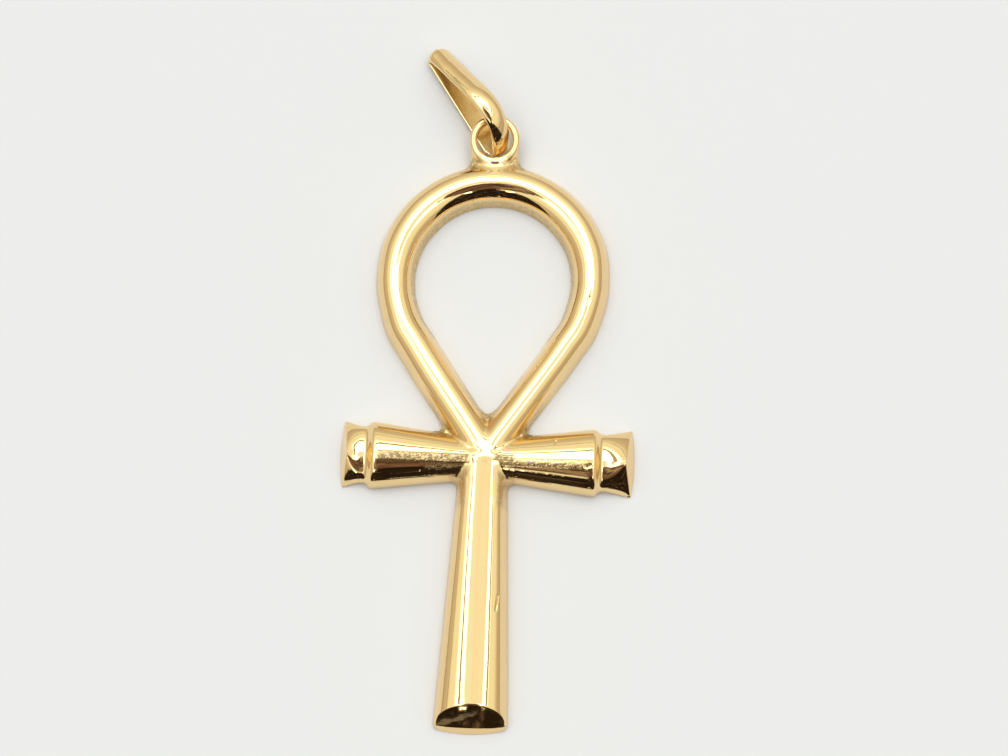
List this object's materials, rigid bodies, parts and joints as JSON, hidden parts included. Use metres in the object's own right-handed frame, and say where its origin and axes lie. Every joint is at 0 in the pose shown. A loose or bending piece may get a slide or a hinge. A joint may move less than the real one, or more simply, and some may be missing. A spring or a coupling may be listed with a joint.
{
  "type": "ankh pendant",
  "caption": "Ankh-shaped pendant with a domed front and flat back, hung from a folded strip bail that runs through its top eyelet.",
  "frame": {"origin": "middle of the footprint, on the surface the pendant lies on", "axes": "+X along the crossbar to the wearer's left, +Y from the stem's foot to the eyelet, +Z out of the domed front"},
  "size_m": [0.0202, 0.0478, 0.0033],
  "materials": {
    "gold": "polished",
    "bail_gold": "polished"
  },
  "bodies": {
    "ankh": {"ankh": "gold"},
    "bail": {"bail": "bail_gold"}
  },
  "joints": [
    {"name": "bail_swing", "type": "hinge", "parent": "ankh", "child": "bail", "pos_m": [-0.00047, 0.01721, 0.00125], "axis": [0, 0, 1], "range_deg": [-145, 78]}
  ]
}
